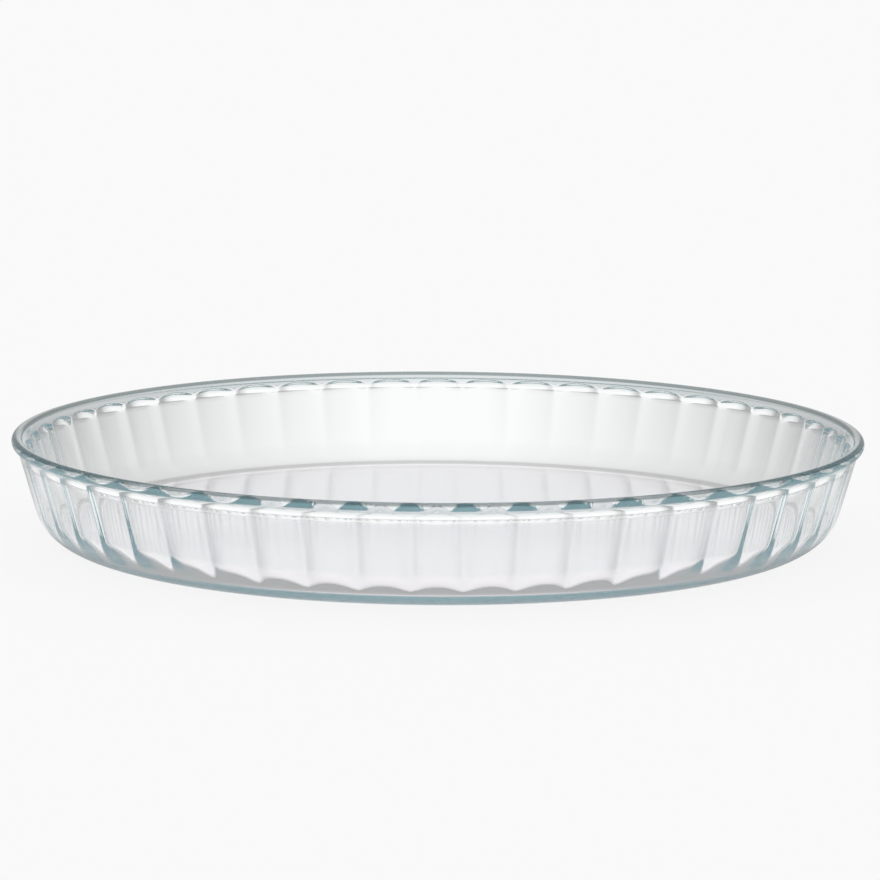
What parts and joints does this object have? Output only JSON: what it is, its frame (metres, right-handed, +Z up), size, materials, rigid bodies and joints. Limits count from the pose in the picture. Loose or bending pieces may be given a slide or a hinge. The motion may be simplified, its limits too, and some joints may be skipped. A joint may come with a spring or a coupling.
{
  "type": "glass tart dish",
  "caption": "Round shallow tart dish of clear pressed glass with round-bottomed flutes inside a sloping wall, a plain rounded rim, a rounded heel and a flat floor.",
  "frame": {"origin": "centre of the flat underside", "axes": "+Z up along the dish's axis, -Y towards the front of the picture, through the middle of a flute"},
  "size_m": [0.28, 0.28, 0.0352],
  "materials": {
    "clear_glass": "fire-polished pressed glass"
  },
  "bodies": {
    "root": {"dish": "clear_glass"}
  },
  "joints": []
}
